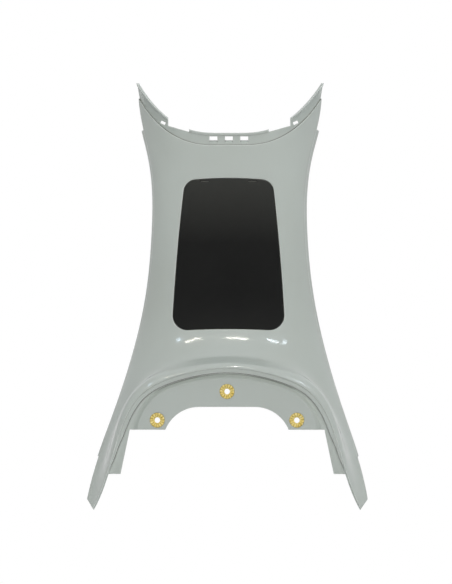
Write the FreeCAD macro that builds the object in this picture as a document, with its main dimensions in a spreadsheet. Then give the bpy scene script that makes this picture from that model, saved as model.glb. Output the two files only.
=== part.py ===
import FreeCAD, Part
import Sketcher
import math
import os

Vector = FreeCAD.Vector
RIGHT = Vector(1, 0, 0)
BACK = Vector(0, 1, 0)
UP = Vector(0, 0, 1)

# Driving sizes in millimetres.
# The frame: +X to the right seen from the front, +Y back into the cover, +Z up, and the origin
# on the axis of the middle bush at the front face of the fixing plate.
SIZES = {
    # Moulded walls: their thickness, the step down to the edge flanges, how deep joined walls
    # run into each other, and how far a joining wall stays back from a visible edge.
    "wall": 2.5,
    "joggle": 1.9,
    "overlap": 0.6,
    "setback": 0.25,
    # Side flanges, from their upper to their lower end.
    "flange_width": 8,
    "flange_end_width": 3.5,
    "flange_top": 303,
    "flange_bottom": -74,
    # Top ledge with its bead and clip slots.
    "ledge_rise": 14.2,
    "ledge_tip_rise": 18,
    "ledge_tip_lean": 0.22,
    "bead_height": 3,
    "bead_depth": 0.8,
    "slot_width": 9,
    "slot_height": 4.4,
    "slot_pitch": 17.8,
    "slot_rise": 7.8,
    "slot_ramp": 2.4,
    "horn_slot_width": 5.6,
    "horn_slot_height": 3,
    "horn_slot_side": 76.5,
    "horn_slot_rise": 26,
    "horn_slot_turn": 26,
    "notch_inner": 46,
    "notch_inner_rise": 15.5,
    "notch_outer": 70.5,
    "notch_outer_rise": 22.5,
    # Lip wall round the arch, which narrows down the legs to the foot of the tabs.
    "lip_reach": 5,
    "lip_end_reach": 1,
    "lip_front": 1,
    # Fixing plate, the groove round it and the tabs on the legs.
    "plate_bottom": -44,
    "groove_depth": 3.2,
    "groove_width": 1.5,
    "ramp_width": 5,
    "arch_top": 21.5,
    "arch_half_width": 110,
    "arch_crown_radius": 190,
    "arch_shoulder_radius": 65,
    "cutout_top": -17.8,
    "cutout_flat": 64,
    "cutout_radius": 42,
    "tab_bottom": -95,
    "tab_toe": 122.7,
    "tab_root": 112,
    # Blunt ends of the legs: the outer corner and the inner tip of the straight cut.
    "leg_corner_side": 161,
    "leg_corner_up": -124.8,
    "leg_tip_side": 157.2,
    "leg_tip_up": -130.5,
    "leg_cut_reach": 2,
    # Bushes and their bosses.
    "bush_pitch": 160.6,
    "bush_drop": 33,
    "bush_bore": 6.5,
    "bush_sleeve": 9,
    "bush_flange": 17,
    "bush_flange_thickness": 1.4,
    "bush_length": 9,
    "bush_dish": 13.5,
    "bush_dish_depth": 0.5,
    "bush_seat_depth": 0.8,
    "bush_chamfer": 0.3,
    "bush_clearance": 0.15,
    "boss_diameter": 15,
    "boss_length": 7,
    # Access lid and its seat in the cover.
    "lid_top": 245.2,
    "lid_bottom": 72.5,
    "lid_top_width": 100,
    "lid_bottom_width": 129,
    "lid_top_crown": 3,
    "lid_bottom_arch": 2.5,
    "lid_side_bulge": 1.5,
    "lid_top_corner": 14,
    "lid_bottom_corner": 16,
    "lid_wall": 2.6,
    "lid_sink": 0.3,
    "lid_gap": 1,
    "seat_width": 4.5,
    "seat_wall": 2.2,
    "seat_clearance": 0.25,
    # Tongues at the lid's top, hooks at its foot, the slits above the tongues and the back ribs.
    "tongue_side": 28,
    "tongue_width": 10,
    "tongue_reach": 2.6,
    "hook_side": 36,
    "hook_width": 12,
    "hook_reach": 1.6,
    "catch_thickness": 1.8,
    "catch_play": 0.6,
    "slit_height": 1.2,
    "slit_drop": 2.2,
    "rib_thickness": 1.6,
    "rib_depth": 4,
    "rib_side": 22,
    "rib_length": 130,
    # Depth of the straight cutting tools, more than the cover is deep.
    "tool_depth": 140,
}

# Cross sections of the skin, from the ridge at the top to the lip round the arch.
# Each lies in a plane that holds the X direction and is tilted about it. Its middle is "back" and
# "up" from the origin. Its half runs through a brow, a corner, a side and an edge point, each given
# by its distance to the side and its drop behind the middle along the tilted plane.
SECTION_SIZES = ("back", "up", "tilt", "brow", "brow_drop", "corner", "corner_drop",
                 "side", "side_drop", "edge", "edge_drop")
SECTIONS = {
    "ridge": (52, 284, 55, 40, 2.4, 63, 13, 87, 35.4, 106, 66),
    "neck": (49.5, 262, 40, 41, 2.3, 63.5, 10.2, 83, 25.5, 98, 47),
    "chest": (46, 235, 25, 42, 2.2, 64, 8, 79, 16.5, 89.5, 30),
    "waist": (40, 165, 3, 42, 1.8, 64, 6.5, 78.5, 13, 89, 24),
    "hip": (36, 90, -18, 45, 2.2, 70, 8, 88.5, 18, 101.5, 32),
    "flare": (26, 56, -50, 45, 3.6, 82, 15.5, 103, 29, 117.5, 45),
    "cowl": (10, 37, -75, 46, 4.6, 92, 23, 115, 52, 142.5, 94),
    "lip": (-4, 27, -90, 52, 7.5, 97, 29, 127, 85, 164.5, 176),
}
SECTION_POINTS = ("brow", "corner", "side", "edge")

# How many cross sections carry each moulded strip along its edge.
FLANGE_STATIONS = 16
LEDGE_STATIONS = 24
LIP_STATIONS = 32

# How closely a place along an edge is found, as a share of the edge.
PLACE_TOLERANCE = 1e-6

doc = FreeCAD.newDocument("center_cover")
sheet = doc.addObject("Spreadsheet::Sheet", "sizes")


def fill_sheet():
    """Write every size into the sheet, one row each, with its name as the cell's alias."""
    rows = dict(SIZES)
    for section, values in SECTIONS.items():
        for key, value in zip(SECTION_SIZES, values):
            rows[f"{section}_{key}"] = value
    for row, (name, value) in enumerate(rows.items(), start=1):
        sheet.set(f"A{row}", name)
        sheet.set(f"B{row}", str(value))
        sheet.setAlias(f"B{row}", name)
    doc.recompute()


def size(name):
    return float(sheet.get(name))


def bind(feature, **formulas):
    """Tie properties of a feature to formulas on the sheet's names."""
    for name, formula in formulas.items():
        feature.setExpression(name, formula)


def shape_feature(name, shape):
    feature = doc.addObject("Part::Feature", name)
    feature.Shape = shape
    return feature


def boolean(kind, name, base, tool):
    feature = doc.addObject(f"Part::{kind}", name)
    feature.Base = base
    feature.Tool = tool
    return feature


def fuse(name, pieces):
    feature = doc.addObject("Part::MultiFuse", name)
    feature.Shapes = pieces
    return feature


def smooth_curve(points):
    curve = Part.BSplineCurve()
    curve.interpolate(points)
    return curve


def section_curve(section):
    """The skin's cross section as one smooth curve from the left edge to the right edge."""
    tilt = math.radians(size(f"{section}_tilt"))
    middle = Vector(0, size(f"{section}_back"), size(f"{section}_up"))
    behind = Vector(0, math.cos(tilt), math.sin(tilt))
    right = []
    for key in SECTION_POINTS:
        right.append((size(f"{section}_{key}"), size(f"{section}_{key}_drop")))
    half_places = [(-side, drop) for side, drop in reversed(right)]
    places = half_places + [(0, 0)] + right
    return smooth_curve([middle + RIGHT * side + behind * drop for side, drop in places])


def skin_surface():
    """The visible face of the cover, lofted through all its cross sections."""
    wires = []
    for section in SECTIONS:
        wires.append(shape_feature(f"{section}_section", section_curve(section).toShape()))
    loft = doc.addObject("Part::Loft", "skin_face")
    loft.Sections = wires
    loft.Solid = False
    loft.MaxDegree = 3
    doc.recompute()
    return loft


def offset_face(name, source, distance):
    """A face that runs behind another at a set distance."""
    feature = doc.addObject("Part::Offset", name)
    feature.Source = source
    feature.Fill = False
    bind(feature, Value=distance)
    return feature


def slab(name, source, thickness):
    """A face thickened backwards to a solid."""
    feature = doc.addObject("Part::Offset", name)
    feature.Source = source
    feature.Fill = True
    bind(feature, Value=thickness)
    return feature


def strip(name, frames, profile):
    """A solid of one profile carried along frames of (point, out, inward)."""
    wires = []
    for point, out, inward in frames:
        corners = [point + out * across + inward * deep for across, deep in profile(point)]
        wires.append(Part.makePolygon(corners + corners[:1]))
    return shape_feature(name, Part.makeLoft(wires, True, False))


def rectangle(across_from, across_to, deep_from, deep_to):
    return [
        (across_from, deep_from),
        (across_to, deep_from),
        (across_to, deep_to),
        (across_from, deep_to),
    ]


def square_to(vector, along):
    """The part of a vector that is square to a direction, at unit length."""
    along = Vector(along).normalize()
    return (vector - along * vector.dot(along)).normalize()


def steps(start, end, count):
    return [start + (end - start) * index / count for index in range(count + 1)]


def side_frames(surface, start, end, count):
    """Frames down the left edge of the skin, pointing out past the edge and into the cover."""
    frames = []
    for v in steps(start, end, count):
        across, along = surface.tangent(0, v)
        frames.append((surface.value(0, v), square_to(across * -1, along), surface.normal(0, v)))
    return frames


def ledge_frames(surface, count):
    """Frames along the ridge for the upright ledge above it."""
    frames = []
    for u in steps(0, 1, count):
        inward = surface.normal(u, 0)
        inward.z = 0
        frames.append((surface.value(u, 0), UP, inward.normalize()))
    return frames


def lip_frames(surface, start, count):
    """Frames along the lip, pointing into the arch and back."""
    frames = []
    for u in steps(start, 1 - start, count):
        across, along = surface.tangent(u, 1)
        frames.append((surface.value(u, 1), BACK.cross(across).normalize(), BACK))
    return frames


def edge_parameter(surface, height):
    """Where the left edge of the skin passes a height."""
    low, high = 0.0, 1.0
    while high - low > PLACE_TOLERANCE:
        middle = (low + high) / 2
        if surface.value(0, middle).z > height:
            low = middle
        else:
            high = middle
    return low


def lip_parameter(surface, height):
    """Where the left half of the lip passes a height."""
    low, high = 0.0, 0.5
    while high - low > PLACE_TOLERANCE:
        middle = (low + high) / 2
        if surface.value(middle, 1).z < height:
            low = middle
        else:
            high = middle
    return low


def flange_profile(point):
    """The side flange's section, a step behind the skin and narrower towards its lower end."""
    wall, joggle = size("wall"), size("joggle")
    share = (size("flange_top") - point.z) / (size("flange_top") - size("flange_bottom"))
    width = size("flange_width") + (size("flange_end_width") - size("flange_width")) * share ** 2
    return rectangle(-wall, width, joggle, joggle + wall)


def side_pieces(surface):
    """The recessed flanges that run along the side edges."""
    start = edge_parameter(surface, size("flange_top"))
    end = edge_parameter(surface, size("flange_bottom"))
    left = strip("left_flange", side_frames(surface, start, end, FLANGE_STATIONS), flange_profile)
    right = doc.addObject("Part::Mirroring", "right_flange")
    right.Source = left
    right.Normal = RIGHT
    return [left, right]


def ledge_profile(point):
    """The ledge's section with the bead along its top, higher and leaning out towards the tips."""
    wall, joggle = size("wall"), size("joggle")
    share = (point.x / size("ridge_edge")) ** 2
    rise = size("ledge_rise") + (size("ledge_tip_rise") - size("ledge_rise")) * share
    lean = size("ledge_tip_lean") * share
    bead_bottom = rise - size("bead_height")
    low_front = joggle - lean * bead_bottom
    top_front = joggle - lean * rise
    return [
        (-wall, joggle),
        (bead_bottom, low_front),
        (bead_bottom, low_front - size("bead_depth")),
        (rise, top_front - size("bead_depth")),
        (rise, top_front + wall),
        (-wall, joggle + wall),
    ]


def other_side(point):
    """The same place on the other half of the cover."""
    return Vector(-point.x, point.y, point.z)


def prism(name, wire, depth):
    """A flat outline drawn backwards to a solid."""
    return shape_feature(name, Part.Face(wire).extrude(BACK * depth))


def polygon(points):
    return Part.makePolygon(points + points[:1])


def lip_profile(point):
    """The lip wall's section, narrower from the plate's lower edge to the foot of the tabs."""
    fall = (size("plate_bottom") - point.z) / (size("plate_bottom") - size("tab_bottom"))
    reach = size("lip_reach") + (size("lip_end_reach") - size("lip_reach")) * max(fall, 0)
    deep = size("groove_depth") - size("lip_back") + size("wall") + size("overlap")
    return rectangle(size("setback"), reach, size("lip_front"), deep)


def lip_pieces(surface):
    """The wall inside the lip, and the flat floor of the groove with the tabs on the legs."""
    floor_back = size("groove_depth")
    lip_depth = floor_back - size("lip_back")
    start = lip_parameter(surface, size("tab_bottom"))
    ring = strip("lip_wall", lip_frames(surface, start, LIP_STATIONS), lip_profile)
    lip = surface.vIso(1)
    outline = lip.toShape(start, 1 - start)
    outline.translate(BACK * lip_depth)
    left_heel, right_heel = (vertex.Point for vertex in outline.Vertexes)
    toe = Vector(size("tab_toe"), floor_back, size("tab_bottom"))
    root = Vector(size("tab_root"), floor_back, size("plate_bottom"))
    lower_edge = Part.makePolygon(
        [right_heel, toe, root, other_side(root), other_side(toe), left_heel])
    floor = prism("groove_floor", Part.Wire([outline] + lower_edge.Edges), size("wall"))
    return [ring, floor]


def arch_wire(inset, back):
    """The three-centred arch of the fixing plate, drawn in by an inset, at a depth."""
    crown, shoulder = size("arch_crown_radius"), size("arch_shoulder_radius")
    shoulder_side = size("arch_half_width") - shoulder
    crown_up = size("arch_top") - crown
    shoulder_up = crown_up + math.sqrt((crown - shoulder) ** 2 - shoulder_side ** 2)
    foot_up = size("tab_bottom")
    middle = Vector(0, back, crown_up)
    centre = Vector(shoulder_side, back, shoulder_up)
    lean = (centre - middle).normalize()
    halfway = (lean + RIGHT).normalize()
    top = middle + UP * (crown - inset)
    tangent = middle + lean * (crown - inset)
    bend = centre + halfway * (shoulder - inset)
    spring = centre + RIGHT * (shoulder - inset)
    foot = Vector(spring.x, back, foot_up)
    edges = [
        Part.LineSegment(other_side(foot), other_side(spring)),
        Part.Arc(other_side(spring), other_side(bend), other_side(tangent)),
        Part.Arc(other_side(tangent), top, tangent),
        Part.Arc(tangent, bend, spring),
        Part.LineSegment(spring, foot),
        Part.LineSegment(foot, other_side(foot)),
    ]
    return Part.Wire([edge.toShape() for edge in edges])


def raised_plate():
    """The fixing plate: it stands up from the groove's floor on a ramp, and is hollow behind."""
    wall, groove = size("wall"), size("groove_depth")
    slope = size("ramp_width") / groove
    foot = size("groove_width")

    def inset_at(back):
        return foot + (groove - back) * slope

    front_back = groove + size("overlap")
    block = shape_feature("plate_block", Part.makeLoft(
        [arch_wire(inset_at(0), 0), arch_wire(inset_at(front_back), front_back)], True, True))
    pocket_back = groove + wall + size("overlap")
    pocket = shape_feature("plate_pocket", Part.makeLoft(
        [arch_wire(inset_at(0) + wall / 2, wall), arch_wire(foot + wall / 2, pocket_back)], True, True))
    return block, pocket


def cutout_wire():
    """The arch cut out of the plate's lower edge: a flat top between two round corners."""
    flat, radius = size("cutout_flat") / 2, size("cutout_radius")
    top = size("cutout_top")
    low = size("tab_bottom")
    reach = radius * math.sqrt(0.5)
    right = [
        Vector(flat, 0, top),
        Vector(flat + reach, 0, top - radius + reach),
        Vector(flat + radius, 0, top - radius),
        Vector(flat + radius, 0, low),
    ]
    left = [other_side(point) for point in right]
    edges = [
        Part.LineSegment(left[0], right[0]),
        Part.Arc(*right[:3]),
        Part.LineSegment(right[2], right[3]),
        Part.LineSegment(right[3], left[3]),
        Part.LineSegment(left[3], left[2]),
        Part.Arc(*reversed(left[:3])),
    ]
    return Part.Wire([edge.toShape() for edge in edges])


def box(name, low, high):
    """A box between two corners, each given as three formulas on the sheet's names."""
    feature = doc.addObject("Part::Box", name)
    for axis, length, start, end in zip("xyz", ("Length", "Width", "Height"), low, high):
        feature.setExpression(length, f"({end}) - ({start})")
        feature.setExpression(f"Placement.Base.{axis}", start)
    return feature


def cylinder(name, diameter, start, end, place):
    """A cylinder along Y between two depths at a bush's place."""
    feature = doc.addObject("Part::Cylinder", name)
    feature.Placement.Rotation = FreeCAD.Rotation(RIGHT, -90)
    bind(feature, Radius=f"({diameter}) / 2", Height=f"({end}) - ({start})")
    feature.setExpression("Placement.Base.x", place[0])
    feature.setExpression("Placement.Base.y", start)
    feature.setExpression("Placement.Base.z", place[1])
    return feature


# Where the bushes sit on the plate, as formulas for X and Z.
BUSH_PLACES = {
    "left_bush": ("-sizes.bush_pitch / 2", "-sizes.bush_drop"),
    "center_bush": ("0", "0"),
    "right_bush": ("sizes.bush_pitch / 2", "-sizes.bush_drop"),
}


def bush_bosses():
    """The bosses behind the plate, with the tools for each bush's seat and sleeve hole."""
    bosses = []
    holes = []
    for bush, place in BUSH_PLACES.items():
        bosses.append(cylinder(f"{bush}_boss", "sizes.boss_diameter",
                               "sizes.wall - sizes.overlap", "sizes.boss_length", place))
        holes.append(cylinder(f"{bush}_seat", "sizes.bush_flange + 2 * sizes.bush_clearance",
                              "-sizes.wall", "sizes.bush_seat_depth", place))
        holes.append(cylinder(f"{bush}_hole", "sizes.bush_sleeve + 2 * sizes.bush_clearance",
                              "-sizes.wall", "sizes.boss_length + sizes.wall", place))
    return bosses, holes


def ledge_cuts():
    """The clip slots with their lead-in ramps, and the two notches beside the middle of the ledge."""
    depth = size("tool_depth")
    base_up = size("ridge_up")
    ledge_front = size("ridge_back") + size("joggle")
    half_width, half_height = size("slot_width") / 2, size("slot_height") / 2
    middle_up = base_up + size("slot_rise")
    slot_floor = middle_up - half_height
    ramp = size("slot_ramp")
    cuts = []
    for index, side in enumerate((-size("slot_pitch"), 0, size("slot_pitch"))):
        outline = [Vector(side + x, 0, middle_up + z) for x, z in (
            (-half_width, -half_height), (half_width, -half_height),
            (half_width, half_height), (-half_width, half_height))]
        cuts.append(prism(f"clip_slot_{index + 1}", polygon(outline), depth))
        lead_in = [Vector(side - half_width, ledge_front + back, slot_floor + up) for back, up in (
            (-ramp, -2 * ramp), (ramp, 0), (ramp, ramp), (-ramp, ramp))]
        cuts.append(shape_feature(f"clip_ramp_{index + 1}",
                                  Part.Face(polygon(lead_in)).extrude(RIGHT * size("slot_width"))))
    turn = math.radians(size("horn_slot_turn"))
    along = Vector(math.cos(turn), 0, math.sin(turn)) * (size("horn_slot_width") / 2)
    across = Vector(-math.sin(turn), 0, math.cos(turn)) * (size("horn_slot_height") / 2)
    middle = Vector(size("horn_slot_side"), 0, base_up + size("horn_slot_rise"))
    horn_slot = [middle - along - across, middle + along - across,
                 middle + along + across, middle - along + across]
    top = base_up + size("ridge_edge")
    notch = [
        Vector(size("notch_inner"), 0, base_up + size("notch_inner_rise")),
        Vector(size("notch_outer"), 0, base_up + size("notch_outer_rise")),
        Vector(size("notch_outer"), 0, top),
        Vector(size("notch_inner"), 0, top),
    ]
    for name, outline in (("horn_slot", horn_slot), ("notch", notch)):
        cuts.append(prism(f"right_{name}", polygon(outline), depth))
        cuts.append(prism(f"left_{name}", polygon([other_side(point) for point in outline]), depth))
    return cuts


def leg_cuts():
    """The tools that end each leg with a straight slanting cut."""
    corner = Vector(size("leg_corner_side"), 0, size("leg_corner_up"))
    tip = Vector(size("leg_tip_side"), 0, size("leg_tip_up"))
    slant = (corner - tip) * size("leg_cut_reach")
    low = Vector(0, 0, 2 * size("tab_bottom"))
    right = [tip - slant, corner + slant, corner + slant + low, tip - slant + low]
    depth = size("tool_depth")
    cuts = [prism("right_leg_cut", polygon(right), depth),
            prism("left_leg_cut", polygon([other_side(point) for point in right]), depth)]
    for cut in cuts:
        cut.Placement.Base = BACK * (-depth / 2)
    return cuts


def bowed(start, end, bow):
    """An arc between two points that bows by a height square to its chord, in the X-Z plane."""
    chord = end - start
    square = Vector(-chord.z, 0, chord.x).normalize()
    return Part.Arc(start, (start + end) / 2 + square * bow, end).toShape()


def grown_corners(corners, growth):
    """The corners of a four-sided outline whose sides have all moved out by a growth."""
    grown = []
    for index, corner in enumerate(corners):
        before = (corner - corners[index - 1]).normalize()
        after = (corners[(index + 1) % len(corners)] - corner).normalize()
        out_before = Vector(before.z, 0, -before.x)
        out_after = Vector(after.z, 0, -after.x)
        grown.append(corner + (out_before + out_after) * (growth / (1 + out_before.dot(out_after))))
    return grown


def lid_prism(name, growth):
    """The lid's outline, four gently bowed sides with round corners, grown and drawn straight back."""
    top = size("lid_top") - size("lid_top_crown")
    bottom = size("lid_bottom") - size("lid_bottom_arch")
    top_right = Vector(size("lid_top_width") / 2, 0, top)
    bottom_right = Vector(size("lid_bottom_width") / 2, 0, bottom)
    corners = grown_corners(
        [other_side(bottom_right), bottom_right, top_right, other_side(top_right)], growth)
    bulge = -size("lid_side_bulge")
    bows = (size("lid_bottom_arch"), bulge, -size("lid_top_crown"), bulge)
    sides = []
    for index, bow in enumerate(bows):
        sides.append(bowed(corners[index], corners[(index + 1) % len(corners)], bow))
    block = Part.Face(Part.Wire(sides)).extrude(BACK * size("tool_depth"))
    middle_up = (top + bottom) / 2
    for corner, is_top in (("lid_top_corner", True), ("lid_bottom_corner", False)):
        posts = []
        for edge in block.Edges:
            ends = [vertex.Point for vertex in edge.Vertexes]
            stands_back = (ends[1] - ends[0]).normalize().cross(BACK).Length < size("setback")
            if stands_back and len(posts) < 2 and (ends[0].z > middle_up) == is_top:
                posts.append(edge)
        block = block.makeFillet(size(corner) + growth, posts)
    return shape_feature(name, block)


def lid_seat(skin_face):
    """The wall round the lid's opening and the ledge at its back that the lid rests on."""
    gap, wall = size("lid_gap"), size("wall")
    opening = lid_prism("opening", gap)
    wall_outer = lid_prism("seat_wall_outer", gap + wall)
    wall_inner = lid_prism("seat_wall_inner", gap + size("setback"))
    ledge_outer = lid_prism("seat_ledge_outer", gap + wall / 2)
    ledge_inner = lid_prism("seat_ledge_inner", gap - size("seat_width"))
    seat_front = "sizes.lid_sink + sizes.lid_wall + sizes.seat_clearance"
    wall_slab = slab("seat_wall_slab", offset_face("seat_wall_face", skin_face, "sizes.overlap"),
                     f"{seat_front} + sizes.seat_wall")
    ledge_slab = slab("seat_ledge_slab", offset_face("seat_ledge_face", skin_face, seat_front),
                      "sizes.seat_wall")
    frame = boolean("Cut", "seat_wall_ring", wall_outer, wall_inner)
    rest = boolean("Cut", "seat_ledge_ring", ledge_outer, ledge_inner)
    return opening, [boolean("Common", "seat_wall_piece", wall_slab, frame),
                     boolean("Common", "seat_ledge_piece", ledge_slab, rest)]


def skin_back(x, z):
    """How far back the skin's visible face lies at a place seen from the front."""
    probe = Part.makeLine(Vector(x, -size("tool_depth"), z), Vector(x, size("tool_depth"), z))
    return probe.distToShape(skin_face.Shape)[1][0][0].y


def behind(x, z, depth):
    """How far back a place seen from the front lies when it is set a depth behind the skin."""
    back = skin_back(x, z)
    u, v = surface.parameter(Vector(x, back, z))
    return back + depth / surface.normal(u, v).y


def catch(name, side, width, edge_up, reach):
    """A catch on the lid's back: a leg past the seat's inner edge, turned out behind the seat."""
    play, thickness = size("catch_play"), size("catch_thickness")
    outward = math.copysign(1, reach)
    leg_out = edge_up - outward * play
    leg_in = leg_out - outward * thickness
    tip = leg_out + reach
    root = size("lid_sink") + size("lid_wall") - size("overlap")
    hold = size("lid_sink") + size("lid_wall") + size("seat_clearance") + size("seat_wall") + play
    corners = [
        (leg_in, root),
        (leg_out, root),
        (leg_out, hold),
        (tip, hold),
        (tip, hold + thickness),
        (leg_in, hold + thickness),
    ]
    ends = []
    for x in (side - width / 2, side + width / 2):
        ends.append(polygon([Vector(x, behind(x, up, depth), up) for up, depth in corners]))
    return shape_feature(name, Part.makeLoft(ends, True, True))


def lid_rise(x):
    """Height of the lid's top edge at a distance to the side, along its crown."""
    return size("lid_top") - size("lid_top_crown") * (2 * x / size("lid_top_width")) ** 2


def lid_fall(x):
    """Height of the lid's lower edge at a distance to the side, along its arch."""
    return size("lid_bottom") - size("lid_bottom_arch") * (2 * x / size("lid_bottom_width")) ** 2


def lid_catches():
    """Two tongues behind the seat's top and two hooks behind its foot."""
    inset = size("seat_width") - size("lid_gap")
    catches = []
    for word, sign in (("left", -1), ("right", 1)):
        tongue, hook = sign * size("tongue_side"), sign * size("hook_side")
        catches.append(catch(f"{word}_tongue", tongue, size("tongue_width"),
                             lid_rise(tongue) - inset, size("tongue_reach")))
        catches.append(catch(f"{word}_hook", hook, size("hook_width"),
                             lid_fall(hook) + inset, -size("hook_reach")))
    return catches


def lid_slits():
    """The slits through the lid in front of the tongues, which let the mould form them."""
    slits = []
    for word, sign in (("left", -1), ("right", 1)):
        side = sign * size("tongue_side")
        middle = lid_rise(side) - size("slit_drop")
        half_width, half_height = size("tongue_width") / 2, size("slit_height") / 2
        outline = [Vector(side + x, 0, middle + z) for x, z in (
            (-half_width, -half_height), (half_width, -half_height),
            (half_width, half_height), (-half_width, half_height))]
        depth = behind(side, middle, size("lid_wall") + size("overlap"))
        slits.append(prism(f"{word}_slit", polygon(outline), depth))
    return slits


def lid_ribs(skin_face):
    """Two upright ribs that stiffen the lid's back."""
    front = offset_face("rib_face", skin_face, "sizes.lid_sink + sizes.lid_wall - sizes.overlap")
    depth = slab("rib_slab", front, "sizes.rib_depth")
    middle = "(sizes.lid_top + sizes.lid_bottom) / 2"
    ribs = []
    for word, sign in (("left", "-"), ("right", "")):
        side = f"{sign}sizes.rib_side"
        low = (f"{side} - sizes.rib_thickness / 2", "0", f"{middle} - sizes.rib_length / 2")
        high = (f"{side} + sizes.rib_thickness / 2", "sizes.tool_depth", f"{middle} + sizes.rib_length / 2")
        post = box(f"{word}_rib_post", low, high)
        ribs.append(boolean("Common", f"{word}_rib", depth, post))
    return ribs


def lid_panel(skin_face):
    """The lid's panel: the skin's own form, sunk a little, cut to the lid's outline."""
    lid_face = offset_face("lid_face", skin_face, "sizes.lid_sink")
    panel_slab = slab("lid_slab", lid_face, "sizes.lid_wall")
    return boolean("Common", "lid_panel", panel_slab, lid_prism("lid_block", 0))


def bush(name, place):
    """A flanged bush, turned about its own axis, with a dished face round its bore."""
    body = doc.addObject("PartDesign::Body", name)
    front = size("bush_seat_depth") - size("bush_flange_thickness")
    bore, sleeve = size("bush_bore") / 2, size("bush_sleeve") / 2
    flange, dish = size("bush_flange") / 2, size("bush_dish") / 2
    chamfer = size("bush_chamfer")
    end = front + size("bush_length")
    profile = [
        (bore, end),
        (sleeve - chamfer, end),
        (sleeve, end - chamfer),
        (sleeve, size("bush_seat_depth")),
        (flange, size("bush_seat_depth")),
        (flange, front + chamfer),
        (flange - chamfer, front),
        (dish, front),
        (bore, front + size("bush_dish_depth")),
    ]
    sketch = body.newObject("Sketcher::SketchObject", f"{name}_profile")
    sketch.AttachmentSupport = [(origin_plane(body, "XZ_Plane"), "")]
    sketch.MapMode = "FlatFace"
    points = [Vector(radius, along, 0) for radius, along in profile]
    for start, stop in zip(points, points[1:] + points[:1]):
        sketch.addGeometry(Part.LineSegment(start, stop), False)
    for index in range(len(points)):
        sketch.addConstraint(Sketcher.Constraint("Coincident", index, 2, (index + 1) % len(points), 1))
    turned = body.newObject("PartDesign::Revolution", f"{name}_turning")
    turned.Profile = sketch
    turned.ReferenceAxis = (sketch, ["V_Axis"])
    turned.Angle = 360
    body.Tip = turned
    body.Placement.Rotation = FreeCAD.Rotation(RIGHT, -90)
    body.setExpression("Placement.Base.x", place[0])
    body.setExpression("Placement.Base.z", place[1])
    return body


def origin_plane(body, role):
    """One of a body's own origin planes."""
    return next(plane for plane in body.Origin.OriginFeatures if plane.Role == role)


fill_sheet()
skin_face = skin_surface()
surface = skin_face.Shape.Faces[0].Surface

# The moulded cover.
skin = slab("skin", skin_face, "sizes.wall")
opening, seat = lid_seat(skin_face)
open_skin = boolean("Cut", "open_skin", skin, opening)
ledge = strip("ledge", ledge_frames(surface, LEDGE_STATIONS), ledge_profile)
block, pocket = raised_plate()
below = box("below_plate", ("-sizes.arch_half_width", "-sizes.wall", "2 * sizes.tab_bottom"),
            ("sizes.arch_half_width", "2 * sizes.groove_depth", "sizes.plate_bottom"))
plate = boolean("Cut", "plate", block, below)
edges = side_pieces(surface) + lip_pieces(surface)
walls = fuse("joined_walls", [open_skin, ledge, plate] + seat + edges)
hollow = boolean("Cut", "hollow_walls", walls, pocket)
bosses, bush_holes = bush_bosses()
bossed = fuse("bossed_walls", [hollow] + bosses)
cutout = prism("cutout", cutout_wire(), size("tool_depth"))
cutout.Placement.Base = BACK * -size("wall")
tools = fuse("cuts", bush_holes + ledge_cuts() + leg_cuts() + [cutout])
shell = boolean("Cut", "cover_shell", bossed, tools)

# The lid that clips into it.
backed_lid = fuse("backed_lid", [lid_panel(skin_face)] + lid_catches() + lid_ribs(skin_face))
lid = boolean("Cut", "access_lid", backed_lid, fuse("slits", lid_slits()))

# The bushes pressed into the plate.
bushes = [bush(name, place) for name, place in BUSH_PLACES.items()]

doc.recompute()
pieces = [shell, lid] + bushes
for feature in doc.Objects:
    if "Invalid" in feature.State or "Error" in feature.State:
        raise RuntimeError(f"{feature.Name} could not be built")
os.makedirs("parts", exist_ok=True)
for piece in pieces:
    piece.Label = piece.Name
    if piece.Shape.isNull() or not piece.Shape.isValid() or len(piece.Shape.Solids) != 1:
        raise RuntimeError(f"{piece.Name} is not one sound solid")
    piece.Shape.exportStep(f"parts/{piece.Label}.step")
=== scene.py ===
import bpy
import math
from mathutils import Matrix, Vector


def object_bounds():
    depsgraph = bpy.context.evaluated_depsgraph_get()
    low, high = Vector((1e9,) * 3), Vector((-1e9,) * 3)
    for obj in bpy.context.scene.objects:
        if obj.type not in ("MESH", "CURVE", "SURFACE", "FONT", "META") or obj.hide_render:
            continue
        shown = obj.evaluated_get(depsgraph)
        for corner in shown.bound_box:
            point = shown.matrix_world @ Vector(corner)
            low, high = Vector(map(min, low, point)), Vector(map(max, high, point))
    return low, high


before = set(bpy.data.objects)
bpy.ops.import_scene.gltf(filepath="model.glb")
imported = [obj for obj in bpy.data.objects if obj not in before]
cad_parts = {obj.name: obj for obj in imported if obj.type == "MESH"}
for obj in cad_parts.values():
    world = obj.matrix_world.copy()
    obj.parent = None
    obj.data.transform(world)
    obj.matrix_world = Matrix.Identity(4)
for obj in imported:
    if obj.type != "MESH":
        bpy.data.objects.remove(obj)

cad_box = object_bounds()
scene = bpy.context.scene
scene.view_settings.view_transform = "Standard"

# Sizes in metres unless a name says otherwise.

# The photograph: its size in pixels, what one pixel shows at the fixing plate, and where the
# middle bush stands in it.
IMAGE_WIDTH = 452
IMAGE_HEIGHT = 584
PIXEL = 1.15e-3
BUSH_PIXEL_X = 227.0
BUSH_PIXEL_Y = 391.5

# The camera stands far off, very slightly to the right.
CAMERA_DISTANCE = 14.0
CAMERA_TURN = math.radians(2.3)
CAMERA_REACH = 56.0
SENSOR_WIDTH_MM = 36.0

# The outer bushes beside and below the middle one, and the teeth on each bush's face.
BUSH_SIDE = 0.0803
BUSH_DROP = 0.033
BUSH_TEETH = 14.0

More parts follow.
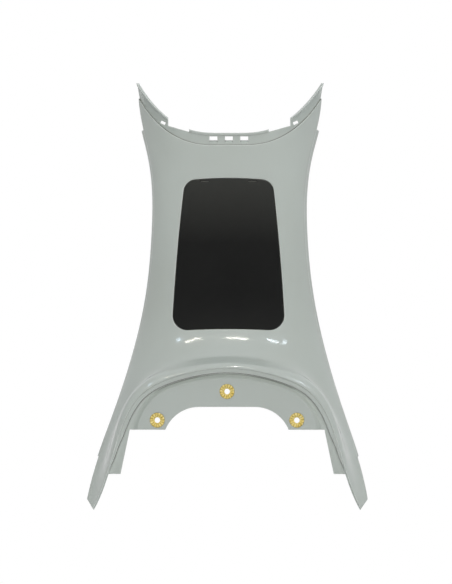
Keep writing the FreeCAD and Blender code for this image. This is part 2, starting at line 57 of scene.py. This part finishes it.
# Grey primer: two tones in soft clouds and dust specks, with painted highlights on its edges, painted
# light in its recesses and painted shade in its tight seams.
PRIMER_DEEP = (0.378, 0.403, 0.368)
PRIMER_PALE = (0.402, 0.432, 0.401)
PRIMER_SPECK = (0.74, 0.74, 0.70)
PRIMER_EDGE_HIGHLIGHT = (0.70, 0.72, 0.68)
PRIMER_EDGE_RADIUS = 0.0024
PRIMER_RECESS_LIGHT = (0.62, 0.66, 0.61)
PRIMER_RECESS_LIGHT_WIDTH = 0.010
PRIMER_SEAM_SHADE = (0.08, 0.08, 0.06)
PRIMER_SEAM_SHADE_WIDTH = 0.0034

# Black grain: two tones in soft clouds, a paler tone of painted light, and how much of it shows from the
# lid's foot (0) to its top (1), which lie at these heights.
GRAIN_DEEP = (0.0065, 0.0065, 0.0063)
GRAIN_PALE = (0.0090, 0.0090, 0.0085)
GRAIN_EDGE_RADIUS = 0.0008
GRAIN_LIT = (0.040, 0.040, 0.036)
LIT_FOOT = 0.06
LIT_TOP = 0.245
LIT_SHARES = ((0.0, 0.12), (0.3, 0.0), (0.6, 0.04), (1.0, 0.8))

# Yellow zinc: worn, plain and bright patches, the gaps between the teeth, and painted shade in tight
# seams.
ZINC_TONES = ((0.35, (0.58, 0.42, 0.10)), (0.55, (0.80, 0.64, 0.22)), (0.75, (0.92, 0.82, 0.48)))
ZINC_TOOTH = (0.26, 0.17, 0.04)
ZINC_EDGE_RADIUS = 0.0003
ZINC_SEAM_SHADE = (0.05, 0.035, 0.01)
ZINC_SEAM_SHADE_WIDTH = 0.001

# How finely rounded edges and closed corners are sampled.
EDGE_SAMPLES = 16
CORNER_SAMPLES = 8

# The stage: how far the floor lies below the cover, out of the photograph's view, where the
# backdrop stands, and their plain tones.
FLOOR_DROP = 0.12
FLOOR_TONE = (0.86, 0.86, 0.86)
BACKDROP_BEHIND = 1.2
BACKDROP_RAISE = 2.5
BACKDROP_TONE = (0.82, 0.82, 0.82)
STAGE_SIZE = 8.0
STAGE_ROUGHNESS = 0.9
WHITE = (1.0, 1.0, 1.0)

# Light by its bearing round the cover, in degrees: 0 and 360 in front, 90 left, 180 behind.
FULL_TURN = 360
ROOM_STRENGTH = 1.25
ROOM_TONES = (
    (0, (0.92, 0.93, 0.91)),
    (20, (0.74, 0.74, 0.71)),
    (32, (0.05, 0.05, 0.04)),
    (48, (0.05, 0.05, 0.04)),
    (60, (0.05, 0.05, 0.03)),
    (96, (0.10, 0.10, 0.06)),
    (180, (0.38, 0.38, 0.38)),
    (264, (0.38, 0.39, 0.40)),
    (300, (0.22, 0.24, 0.26)),
    (312, (0.09, 0.10, 0.11)),
    (328, (0.09, 0.10, 0.11)),
    (340, (0.74, 0.76, 0.78)),
    (360, (0.92, 0.93, 0.91)),
)

# How the room's light changes with height, as the sine of the angle above the floor.
HEIGHT_TONES = (
    (-1.0, 0.8),
    (0.0, 1.0),
    (0.16, 1.0),
    (0.26, 0.3),
    (0.50, 0.3),
    (0.62, 0.75),
    (0.84, 0.75),
    (0.88, 1.0),
    (0.93, 1.0),
    (0.95, 0.5),
    (0.965, 0.5),
    (0.975, 1.0),
    (0.99, 1.0),
    (0.995, 0.4),
)

# Overhead the light is even all round: its colour, and the sines of the angles where it sets in.
OVERHEAD_TONE = (0.66, 0.71, 0.74)
OVERHEAD_FOOT = 0.42
OVERHEAD_TOP = 0.62

# The lamps point at the middle of the cover, and the tubes only part of the way in from their side.
COVER_MIDDLE = (0.0, 0.0, 0.1)
TUBE_FRONT = -1.6
TUBE_AIM_SHARE = 0.3

# Soft fills: place, width, height, power and colour. They give no mirror image in the plastic.
FILLS = (
    ("front_fill", (1.5, -3.7, 0.2), 1.6, 1.0, 35.0, (1.0, 0.99, 0.97)),
    ("ceiling_fill", (0.0, -0.6, 2.3), 2.2, 1.4, 21.0, (0.95, 0.98, 1.0)),
)

# Tubes and windows mirrored in the cowl: side, height, width and height of the lamp, power, colour.
TUBES = (
    ("left_window", -1.12, 1.45, 0.12, 0.16, 0.8, (0.70, 0.84, 1.0)),
    ("left_tube", -0.72, 1.56, 0.40, 0.03, 1.5, (1.0, 0.93, 0.82)),
    ("middle_tube", 0.04, 1.6, 0.30, 0.03, 1.5, (1.0, 0.95, 0.86)),
    ("right_tube", 0.82, 1.54, 0.36, 0.05, 1.7, (0.84, 0.92, 1.0)),
    ("right_window", 1.2, 1.52, 0.12, 0.16, 0.8, (0.80, 0.90, 1.0)),
)


class Nodes:
    """A node tree, with short ways to add and join its nodes."""

    def __init__(self, tree):
        self.tree = tree

    def add(self, kind, **settings):
        node = self.tree.nodes.new(kind)
        for name, value in settings.items():
            setattr(node, name, value)
        return node

    def join(self, start, end):
        self.tree.links.new(start, end)

    def feed(self, value, socket):
        """Joins a socket, or sets a fixed colour or number."""
        if isinstance(value, bpy.types.NodeSocket):
            self.join(value, socket)
        elif isinstance(value, tuple):
            socket.default_value = (*value, 1.0)
        else:
            socket.default_value = value

    def reckon(self, operation, *values):
        """A sum of sockets or fixed numbers."""
        node = self.add("ShaderNodeMath", operation=operation)
        for value, socket in zip(values, node.inputs):
            self.feed(value, socket)
        return node.outputs["Value"]

    def split(self, place):
        """The X, Y and Z of a place, by their names."""
        node = self.add("ShaderNodeSeparateXYZ")
        self.join(place, node.inputs["Vector"])
        return node.outputs

    def ramp(self, factor, stops):
        """A colour ramp from (place, colour) stops."""
        node = self.add("ShaderNodeValToRGB")
        elements = node.color_ramp.elements
        while len(elements) < len(stops):
            elements.new(0.5)
        for element, (place, color) in zip(elements, stops):
            element.position = place
            element.color = (*color, 1.0)
        self.join(factor, node.inputs["Fac"])
        return node.outputs["Color"]

    def grey_ramp(self, factor, stops):
        """A ramp from (place, share) stops."""
        return self.ramp(factor, [(place, (share, share, share)) for place, share in stops])

    def mix(self, factor, first, second, blend="MIX"):
        """Two colours mixed by a factor."""
        node = self.add("ShaderNodeMix", data_type="RGBA", blend_type=blend)
        self.feed(factor, node.inputs[0])
        self.feed(first, node.inputs[6])
        self.feed(second, node.inputs[7])
        return node.outputs[2]

    def spread(self, factor, low=0.0, high=1.0, from_low=0.0, from_high=1.0):
        """A factor mapped from one range to another."""
        node = self.add("ShaderNodeMapRange")
        node.inputs["From Min"].default_value = from_low
        node.inputs["From Max"].default_value = from_high
        node.inputs["To Min"].default_value = low
        node.inputs["To Max"].default_value = high
        self.join(factor, node.inputs["Value"])
        return node.outputs["Result"]

    def overlay(self, factor, first, second):
        """One shader overlaid with another by a factor."""
        node = self.add("ShaderNodeMixShader")
        self.join(factor, node.inputs["Fac"])
        self.join(first, node.inputs[1])
        self.join(second, node.inputs[2])
        return node.outputs["Shader"]

    def white_rays(self):
        """1 for the rays that show the white ground: from the camera, mirrored or let through."""
        path = self.add("ShaderNodeLightPath")
        seen = self.reckon("MAXIMUM", path.outputs["Is Camera Ray"], path.outputs["Is Glossy Ray"])
        return self.reckon("MAXIMUM", seen, path.outputs["Is Transmission Ray"])


class Finish(Nodes):
    """The finish of one piece, with patterns that lie on the piece's own coordinates."""

    def __init__(self, name):
        self.material = bpy.data.materials.new(name)
        self.material.use_nodes = True
        super().__init__(self.material.node_tree)
        self.shader = self.tree.nodes["Principled BSDF"]
        self.place = self.add("ShaderNodeTexCoord").outputs["Object"]

    def paint(self, looks):
        """Sets or joins the shader's sockets."""
        for socket, value in looks.items():
            self.feed(value, self.shader.inputs[socket])

    def noise(self, scale, detail, roughness=0.5):
        node = self.add("ShaderNodeTexNoise")
        node.inputs["Scale"].default_value = scale
        node.inputs["Detail"].default_value = detail
        node.inputs["Roughness"].default_value = roughness
        self.join(self.place, node.inputs["Vector"])
        return node.outputs["Fac"]

    def bump(self, height, distance, strength, normal):
        node = self.add("ShaderNodeBump")
        node.inputs["Strength"].default_value = strength
        node.inputs["Distance"].default_value = distance
        self.join(height, node.inputs["Height"])
        self.join(normal, node.inputs["Normal"])
        return node.outputs["Normal"]

    def corners(self, color, tone, distance, most, closed, clear):
        """A colour that turns to another tone in corners narrower than a distance."""
        node = self.add("ShaderNodeAmbientOcclusion", samples=CORNER_SAMPLES)
        node.inputs["Distance"].default_value = distance
        share = self.spread(node.outputs["AO"], low=most, high=0.0, from_low=closed, from_high=clear)
        return self.mix(share, color, tone)

    def shade_seams(self, color, shade_tone, distance):
        """Painted shade: a colour that darkens in tight corners."""
        return self.corners(color, shade_tone, distance, most=0.95, closed=0.48, clear=0.84)

    def paint_edge_highlights(self, color, pale, rounded):
        """A painted highlight: a colour that turns paler on a moulded edge, where the rounded normal
        leaves the true one.
        """
        true = self.add("ShaderNodeNewGeometry")
        dot = self.add("ShaderNodeVectorMath", operation="DOT_PRODUCT")
        self.join(true.outputs["Normal"], dot.inputs[0])
        self.join(rounded, dot.inputs[1])
        share = self.spread(dot.outputs["Value"], low=0.75, high=0.0, from_low=0.78, from_high=0.97)
        return self.mix(share, color, pale)

    def soft_edges(self, radius):
        """Normals rounded over sharp moulded edges."""
        node = self.add("ShaderNodeBevel", samples=EDGE_SAMPLES)
        node.inputs["Radius"].default_value = radius
        return node.outputs["Normal"]


def grey_primer():
    """Satin grey-green primer on moulded plastic, a little uneven, with faint dust, orange peel, painted
    highlights on its edges, painted light in its recesses and painted shade in its seams.
    """
    finish = Finish("grey_primer")
    cloud = finish.noise(scale=9.0, detail=4.0)
    tone = finish.ramp(cloud, ((0.3, PRIMER_DEEP), (0.7, PRIMER_PALE)))
    speck = finish.noise(scale=1400.0, detail=2.0, roughness=0.6)
    dust = finish.grey_ramp(speck, ((0.6, 0.0), (0.75, 1.0)))
    dusted = finish.mix(finish.spread(dust, high=0.1), tone, PRIMER_SPECK)
    rounded = finish.soft_edges(PRIMER_EDGE_RADIUS)
    # Painted highlight: edges turn paler where the rounded normal tilts away from the true one.
    edge_highlighted = finish.paint_edge_highlights(dusted, PRIMER_EDGE_HIGHLIGHT, rounded)
    # Painted light: corners within the recess width turn to a much paler tone, lifting their shade.
    recess_lit = finish.corners(edge_highlighted, PRIMER_RECESS_LIGHT, PRIMER_RECESS_LIGHT_WIDTH, most=0.85, closed=0.5, clear=0.92)
    sheen = finish.noise(scale=30.0, detail=2.0)
    peel = finish.noise(scale=300.0, detail=1.0)
    finish.paint({
        # Painted shade: tight seams darken.
        "Base Color": finish.shade_seams(recess_lit, PRIMER_SEAM_SHADE, PRIMER_SEAM_SHADE_WIDTH),
        "Roughness": finish.spread(sheen, low=0.3, high=0.36),
        "Normal": finish.bump(peel, distance=0.0001, strength=0.02, normal=rounded),
        "Specular IOR Level": 0.4,
        "Coat Weight": 1.0,
        "Coat IOR": 1.6,
        "Coat Roughness": 0.1,
    })
    return finish.material


def black_grain():
    """Black moulding with a fine leather-like grain, and painted light that pales it towards its top and a
    little at its foot.
    """
    finish = Finish("black_grain")
    cloud = finish.noise(scale=14.0, detail=3.0)
    tone = finish.ramp(cloud, ((0.3, GRAIN_DEEP), (0.75, GRAIN_PALE)))
    height = finish.split(finish.place)["Z"]
    # Painted light: the lid turns paler towards its top and a little at its foot.
    climb = finish.spread(height, from_low=LIT_FOOT, from_high=LIT_TOP)
    lit_share = finish.grey_ramp(climb, LIT_SHARES)
    cells = finish.add("ShaderNodeTexVoronoi", feature="SMOOTH_F1")
    cells.inputs["Scale"].default_value = 1100.0
    finish.join(finish.place, cells.inputs["Vector"])
    rounded = finish.soft_edges(GRAIN_EDGE_RADIUS)
    sheen = finish.noise(scale=80.0, detail=3.0)
    finish.paint({
        "Base Color": finish.mix(lit_share, tone, GRAIN_LIT),
        "Roughness": finish.spread(sheen, low=0.42, high=0.56),
        "Normal": finish.bump(cells.outputs["Distance"], distance=0.0002, strength=0.35, normal=rounded),
        "Specular IOR Level": 0.09,
    })
    return finish.material


def yellow_zinc(name, side, up):
    """Yellow zinc plating with worn patches, radial teeth round a bush's own axis, and painted shade in
    its seams.
    """
    finish = Finish(name)
    blotch = finish.noise(scale=420.0, detail=3.0)
    tone = finish.ramp(blotch, ZINC_TONES)
    own = finish.add("ShaderNodeMapping")
    own.inputs["Location"].default_value = (-side, 0.0, -up)
    finish.join(finish.place, own.inputs["Vector"])
    parts = finish.split(own.outputs["Vector"])
    bearing = finish.reckon("ARCTAN2", parts["X"], parts["Z"])
    wave = finish.reckon("SINE", finish.reckon("MULTIPLY", bearing, BUSH_TEETH))
    tooth = finish.spread(wave, high=0.65, from_low=0.2)
    toothed = finish.mix(tooth, tone, ZINC_TOOTH)
    rounded = finish.soft_edges(ZINC_EDGE_RADIUS)
    finish.paint({
        # Painted shade: tight seams round the bush darken.
        "Base Color": finish.shade_seams(toothed, ZINC_SEAM_SHADE, ZINC_SEAM_SHADE_WIDTH),
        "Roughness": finish.spread(blotch, low=0.42, high=0.25),
        "Normal": finish.bump(wave, distance=0.0003, strength=0.4, normal=rounded),
        "Metallic": 1.0,
    })
    return finish.material


FINISHES = {
    "cover_shell": grey_primer(),
    "access_lid": black_grain(),
    "left_bush": yellow_zinc("yellow_zinc_left", -BUSH_SIDE, -BUSH_DROP),
    "center_bush": yellow_zinc("yellow_zinc_middle", 0.0, 0.0),
    "right_bush": yellow_zinc("yellow_zinc_right", BUSH_SIDE, -BUSH_DROP),
}
for piece, material in FINISHES.items():
    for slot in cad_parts[piece].material_slots:
        slot.material = material


def stage_plain(name, tone):
    """A plain pale surface that takes the cover's shadow."""
    material = bpy.data.materials.new(name)
    material.use_nodes = True
    shader = material.node_tree.nodes["Principled BSDF"]
    shader.inputs["Base Color"].default_value = (*tone, 1.0)
    shader.inputs["Roughness"].default_value = STAGE_ROUGHNESS
    return material


def stage_white():
    """White where it is seen or mirrored, clear from behind, else a plain pale surface."""
    material = stage_plain("studio_white", BACKDROP_TONE)
    nodes = Nodes(material.node_tree)
    pale = nodes.tree.nodes["Principled BSDF"]
    glow = nodes.add("ShaderNodeEmission")
    nodes.feed(WHITE, glow.inputs["Color"])
    seen = nodes.overlay(nodes.white_rays(), pale.outputs["BSDF"], glow.outputs["Emission"])
    side = nodes.add("ShaderNodeNewGeometry")
    clear = nodes.add("ShaderNodeBsdfTransparent")
    both = nodes.overlay(side.outputs["Backfacing"], seen, clear.outputs["BSDF"])
    nodes.join(both, nodes.tree.nodes["Material Output"].inputs["Surface"])
    return material


def add_stage():
    """A wide pale floor under the cover and a backdrop behind it."""
    lowest = cad_box[0]
    floor_up = lowest.z - FLOOR_DROP
    planes = (
        ("floor", (0.0, 0.0, floor_up), 0.0, stage_plain("studio_floor", FLOOR_TONE)),
        ("backdrop", (0.0, BACKDROP_BEHIND, floor_up + BACKDROP_RAISE), math.radians(90), stage_white()),
    )
    for name, place, turn, material in planes:
        bpy.ops.object.select_all(action="DESELECT")
        bpy.ops.mesh.primitive_plane_add(size=STAGE_SIZE, location=place, rotation=(turn, 0.0, 0.0))
        plane = bpy.context.object
        plane.name = name
        plane.data.materials.append(material)


def room_light():
    """Soft light from all round, dim at both sides, and white where it is seen or mirrored."""
    world = bpy.data.worlds.new("room")
    world.use_nodes = True
    nodes = Nodes(world.node_tree)
    parts = nodes.split(nodes.add("ShaderNodeTexCoord").outputs["Generated"])
    bearing = nodes.reckon("ARCTAN2", parts["X"], parts["Y"])
    turn = nodes.spread(bearing, from_low=-math.pi, from_high=math.pi)
    around = nodes.ramp(turn, [(degrees / FULL_TURN, tone) for degrees, tone in ROOM_TONES])
    overhead = nodes.spread(parts["Z"], from_low=OVERHEAD_FOOT, from_high=OVERHEAD_TOP)
    tone = nodes.mix(overhead, around, OVERHEAD_TONE)
    height = nodes.spread(parts["Z"], from_low=-1.0)
    shade = nodes.grey_ramp(height, [((sine + 1) / 2, share) for sine, share in HEIGHT_TONES])
    shaded = nodes.mix(1.0, tone, shade, blend="MULTIPLY")
    white = 1 / ROOM_STRENGTH
    background = nodes.tree.nodes["Background"]
    nodes.feed(nodes.mix(nodes.white_rays(), shaded, (white, white, white)), background.inputs["Color"])
    nodes.feed(ROOM_STRENGTH, background.inputs["Strength"])
    scene.world = world


def add_lamp(name, place, aim, width, height, power, color):
    bpy.ops.object.light_add(type="AREA", location=place)
    lamp = bpy.context.object
    lamp.name = name
    lamp.data.shape = "RECTANGLE"
    lamp.data.size = width
    lamp.data.size_y = height
    lamp.data.energy = power
    lamp.data.color = color
    lamp.rotation_euler = (Vector(aim) - Vector(place)).to_track_quat("-Z", "Y").to_euler()
    return lamp


def add_lights():
    """Room light, two soft fills and a row of tubes and windows that glint along the cowl."""
    room_light()
    for name, place, width, height, power, color in FILLS:
        lamp = add_lamp(name, place, COVER_MIDDLE, width, height, power, color)
        lamp.visible_glossy = False
        lamp.visible_camera = False
    middle_x, middle_y, middle_z = COVER_MIDDLE
    for name, side, up, width, height, power, color in TUBES:
        aim = (middle_x + side * TUBE_AIM_SHARE, middle_y, middle_z)
        add_lamp(name, (side, TUBE_FRONT, up), aim, width, height, power, color)


def add_camera():
    """The photograph's view: square on, very slightly from the right, from far away."""
    data = bpy.data.cameras.new("camera")
    camera = bpy.data.objects.new("camera", data)
    scene.collection.objects.link(camera)
    aim_side = (IMAGE_WIDTH / 2 - BUSH_PIXEL_X) * PIXEL
    aim_up = (BUSH_PIXEL_Y - IMAGE_HEIGHT / 2) * PIXEL
    away = Vector((math.sin(CAMERA_TURN), -math.cos(CAMERA_TURN), 0.0))
    camera.location = Vector((aim_side, 0.0, aim_up)) + away * CAMERA_DISTANCE
    camera.rotation_euler = (math.radians(90), 0.0, CAMERA_TURN)
    data.sensor_width = SENSOR_WIDTH_MM
    data.lens = SENSOR_WIDTH_MM * CAMERA_DISTANCE / (IMAGE_HEIGHT * PIXEL)
    data.clip_end = CAMERA_REACH
    scene.camera = camera


add_stage()
add_lights()
add_camera()
